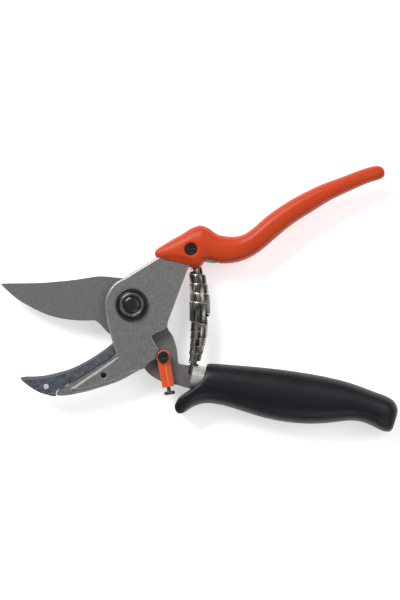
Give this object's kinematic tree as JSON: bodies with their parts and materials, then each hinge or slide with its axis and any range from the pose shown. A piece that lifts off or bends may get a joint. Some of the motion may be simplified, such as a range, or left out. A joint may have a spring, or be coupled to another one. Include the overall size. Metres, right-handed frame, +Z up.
{
  "type": "pruning shears",
  "caption": "Bypass pruning shears, fully open: forged hook half with covered handle, curved blade with rolling grip, rolled-strip return spring and swinging catch.",
  "frame": {"origin": "middle of the underside of the open shears' bounding box", "axes": "+X from the blade's tip side towards the handles, +Y across from the rolling lower grip towards the covered upper handle, +Z up through the pivot out of the front face, with the shears lying on their back"},
  "size_m": [0.2004, 0.1344, 0.0203],
  "materials": {
    "cast_frame": "satin, fine cast texture",
    "orange_cover": "glossy orange-red",
    "orange_catch": "glossy orange-red",
    "blackened_steel": "semi-gloss black",
    "zinc_steel": "bright zinc",
    "hardened_strip": "ground",
    "plated_insert": "speckled zinc plate",
    "rivet_steel": "polished",
    "coated_blade": "matt grey coating",
    "bronze_bush": "sintered",
    "nylon_glide": "matt",
    "collar_steel": "turned",
    "spring_steel": "bright",
    "bush_nylon": "matt",
    "grip_liner_plastic": "matt",
    "grip_rubber": "satin black",
    "gunmetal": "dark",
    "wire_steel": "bright"
  },
  "bodies": {
    "hook_half": {"body_casting": "cast_frame", "handle_cover": "orange_cover", "handle_screw": "blackened_steel", "handle_screw_sleeve": "zinc_steel", "counter_blade": "hardened_strip", "hook_insert": "plated_insert", "counter_blade_rivet": "rivet_steel", "counter_blade_dowel": "zinc_steel", "insert_screw": "blackened_steel", "spring_upper_seat": "spring_steel", "pivot_bolt": "blackened_steel", "pivot_nut": "blackened_steel", "pivot_washer": "blackened_steel", "pivot_back_washer": "blackened_steel", "glide_disc": "nylon_glide", "volute_spring": "spring_steel"},
    "blade_half": {"blade": "coated_blade", "blade_bush": "bronze_bush", "grip_core": "collar_steel", "tang_pins": "zinc_steel", "grip_front_bush": "bush_nylon", "grip_rear_bush": "bush_nylon", "grip_thrust_washer": "zinc_steel", "grip_end_screw": "zinc_steel", "spring_lower_seat": "spring_steel", "catch_screw": "blackened_steel", "catch_washer": "zinc_steel"},
    "roll_grip": {"grip_shell": "grip_rubber", "grip_liner": "grip_liner_plastic"},
    "catch": {"catch_lever": "orange_catch", "catch_foot_guide": "gunmetal", "catch_foot_spring": "wire_steel"},
    "catch_foot": {"catch_foot": "gunmetal"}
  },
  "joints": [
    {"name": "blade_pivot", "type": "hinge", "parent": "hook_half", "child": "blade_half", "pos_m": [-0.03415, -0.00292, 0.01001], "axis": [0, 0, 1], "range_deg": [0, 42], "stiffness_Nm_per_rad": 2, "springref_deg": -14.32, "deforming": ["volute_spring"]},
    {"name": "grip_roll", "type": "hinge", "parent": "blade_half", "child": "roll_grip", "pos_m": [-0.00415, -0.03922, 0.01001], "axis": [0.9833, -0.1822, 0], "range_deg": [-45, 45]},
    {"name": "catch_swing", "type": "hinge", "parent": "blade_half", "child": "catch", "pos_m": [-0.01835, -0.02922, 0.01201], "axis": [0, 0, 1], "range_deg": [-34, 0]},
    {"name": "catch_foot_push", "type": "slide", "parent": "catch", "child": "catch_foot", "axis": [-0.1702, 0.9854, 0], "range_m": [0, 0.0016], "stiffness_N_per_m": 300, "springref_m": -0.002, "deforming": ["catch_foot_spring"]}
  ]
}
